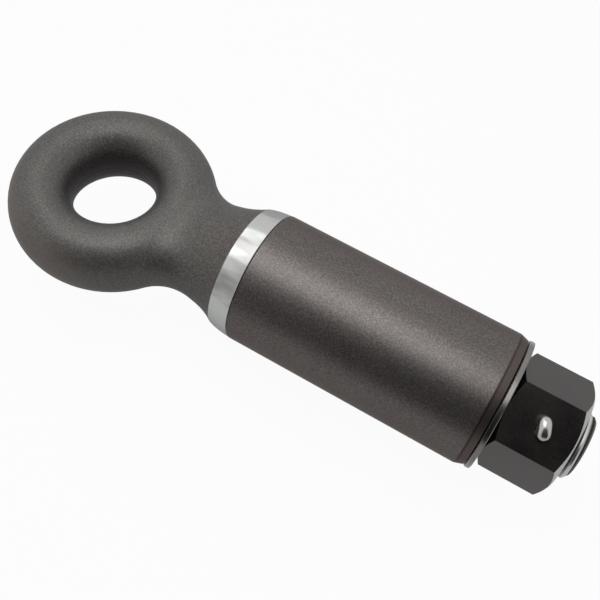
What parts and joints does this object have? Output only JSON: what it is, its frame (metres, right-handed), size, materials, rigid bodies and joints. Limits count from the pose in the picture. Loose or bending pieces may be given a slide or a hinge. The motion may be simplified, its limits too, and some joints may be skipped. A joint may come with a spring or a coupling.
{
  "type": "swivel towing eye",
  "caption": "Forged towing eye whose shank swivels in a weld-on sleeve, held by a washer, a hexagon nut and a split pin.",
  "frame": {"origin": "middle of the sleeve, on the swivel axis", "axes": "+X along the swivel axis from the eye towards the nut, +Z along the axis of the eye's hole"},
  "size_m": [0.3683, 0.125, 0.08],
  "materials": {
    "forged_steel": "dark forged skin with a bright turned collar",
    "sleeve_steel": "dark satin oxide",
    "bush_metal": "bored and plain",
    "bright_steel": "bright turned steel",
    "nut_steel": "black satin oxide",
    "pin_steel": "bright plated wire"
  },
  "bodies": {
    "housing": {"sleeve": "sleeve_steel", "front_bush": "bush_metal", "rear_bush": "bush_metal"},
    "swivel_eye": {"eye_forging": "forged_steel", "washer": "bright_steel", "nut": "nut_steel", "split_pin": "pin_steel"}
  },
  "joints": [
    {"name": "swivel", "type": "hinge", "parent": "housing", "child": "swivel_eye", "pos_m": [0, 0, 0], "axis": [1, 0, 0], "continuous": true}
  ]
}
